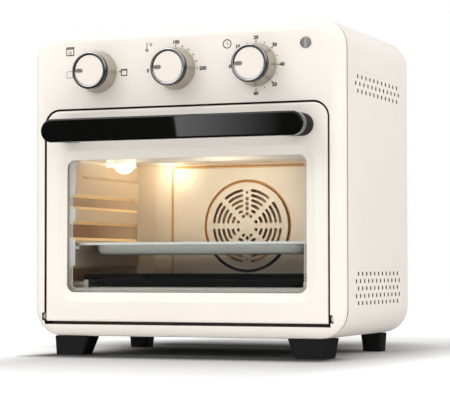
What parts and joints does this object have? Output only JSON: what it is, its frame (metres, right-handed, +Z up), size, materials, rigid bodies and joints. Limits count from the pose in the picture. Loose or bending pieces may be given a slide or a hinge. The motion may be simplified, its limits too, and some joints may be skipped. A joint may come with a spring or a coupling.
{
  "type": "countertop air fryer oven",
  "caption": "Countertop air fryer oven with a drop-down glass door, bar handle, rotary knobs, fan, heaters and trays that draw out with the door.",
  "frame": {"origin": "middle of the overall box in X and Y, at the level the feet rest on", "axes": "+X to the right seen from the front, +Y towards the rear, +Z up"},
  "size_m": [0.34, 0.306, 0.3357],
  "materials": {
    "cream_plastic": "glossy cream moulding",
    "cream_paint": "gloss enamel",
    "zinc_sheet": "plain plated sheet",
    "aluminised": "satin cavity sheet",
    "black_plastic": "matt black",
    "black_gloss": "gloss black",
    "knob_cream": "gloss cream",
    "chrome_trim": "polished",
    "pointer_grey": "grey insert",
    "spindle_steel": "turned",
    "clear_glass": "tempered, clear",
    "bulb_glass": "frosted warm",
    "lens_grey": "smoked lens",
    "grey_rubber": "silicone",
    "heater_steel": "heat-darkened sheath",
    "ceramic": "unglazed",
    "tray_grey": "grey non-stick",
    "tray_black": "black enamel",
    "core_steel": "laminated",
    "copper_coil": "varnished winding",
    "bronze": "sintered",
    "grey_plastic": "moulded",
    "screw_steel": "plated"
  },
  "bodies": {
    "body": {"front_bezel": "cream_plastic", "wrap_cover": "cream_paint", "base_plate": "zinc_sheet", "rear_cover": "cream_paint", "front_feet": "black_plastic", "rear_feet": "black_plastic", "housing_screws": "screw_steel", "cord_gland": "black_plastic", "cavity_left_wall": "aluminised", "cavity_right_wall": "aluminised", "cavity_roof": "aluminised", "cavity_floor": "aluminised", "cavity_back_wall": "aluminised", "cavity_front_flange": "zinc_sheet", "fan_grille": "aluminised", "fan_housing": "zinc_sheet", "motor_stator": "core_steel", "motor_coil": "copper_coil", "motor_bracket": "zinc_sheet", "motor_bearings": "bronze", "upper_heater": "heater_steel", "lower_heater": "heater_steel", "heater_insulators": "ceramic", "lamp_holder": "ceramic", "lamp_bulb": "bulb_glass", "control_bracket": "zinc_sheet", "mode_switch": "grey_plastic", "thermostat": "ceramic", "timer": "zinc_sheet", "thermostat_probe": "copper_coil", "indicator_body": "grey_plastic", "indicator_lens": "lens_grey", "terminal_block": "grey_plastic", "door_switch": "black_plastic", "hinge_brackets": "zinc_sheet"},
    "door": {"door_frame": "cream_plastic", "door_gasket": "grey_rubber", "door_glass": "clear_glass", "door_inner_panel": "zinc_sheet", "door_handle": "black_gloss", "door_screws": "screw_steel", "hinge_pins": "spindle_steel", "door_striker": "screw_steel"},
    "baking_tray": {"baking_tray": "tray_grey"},
    "drip_tray": {"drip_tray": "tray_black"},
    "fan": {"motor_shaft": "spindle_steel", "fan_blade": "aluminised", "cooling_impeller": "zinc_sheet"},
    "mode_control": {"mode_knob": "knob_cream", "mode_knob_ring": "chrome_trim", "mode_pointer": "pointer_grey", "mode_spindle": "spindle_steel"},
    "temperature_control": {"temperature_knob": "knob_cream", "temperature_knob_ring": "chrome_trim", "temperature_pointer": "pointer_grey", "temperature_spindle": "spindle_steel"},
    "timer_control": {"timer_knob": "knob_cream", "timer_knob_ring": "chrome_trim", "timer_pointer": "pointer_grey", "timer_spindle": "spindle_steel"}
  },
  "joints": [
    {"name": "door_hinge", "type": "hinge", "parent": "body", "child": "door", "pos_m": [0, -0.1095, 0.0399], "axis": [1, 0, 0], "range_deg": [0, 87]},
    {"name": "baking_tray_slide", "type": "slide", "parent": "body", "child": "baking_tray", "axis": [0, -1, 0], "range_m": [0, 0.119]},
    {"name": "drip_tray_slide", "type": "slide", "parent": "body", "child": "drip_tray", "axis": [0, -1, 0], "range_m": [0, 0.061]},
    {"name": "fan_spin", "type": "hinge", "parent": "body", "child": "fan", "pos_m": [-0.0048, 0.09, 0.1361], "axis": [0, 1, 0], "continuous": true},
    {"name": "mode_turn", "type": "hinge", "parent": "body", "child": "mode_control", "pos_m": [-0.095, -0.116, 0.291], "axis": [0, 1, 0], "range_deg": [0, 180]},
    {"name": "temperature_turn", "type": "hinge", "parent": "body", "child": "temperature_control", "pos_m": [-0.0075, -0.116, 0.291], "axis": [0, 1, 0], "range_deg": [0, 180]},
    {"name": "timer_turn", "type": "hinge", "parent": "body", "child": "timer_control", "pos_m": [0.08, -0.116, 0.291], "axis": [0, 1, 0], "range_deg": [0, 270]}
  ],
  "couplings": [
    {"joint": "baking_tray_slide", "follows": "door_hinge", "m_per_rad": 0.078},
    {"joint": "drip_tray_slide", "follows": "door_hinge", "m_per_rad": 0.04}
  ]
}
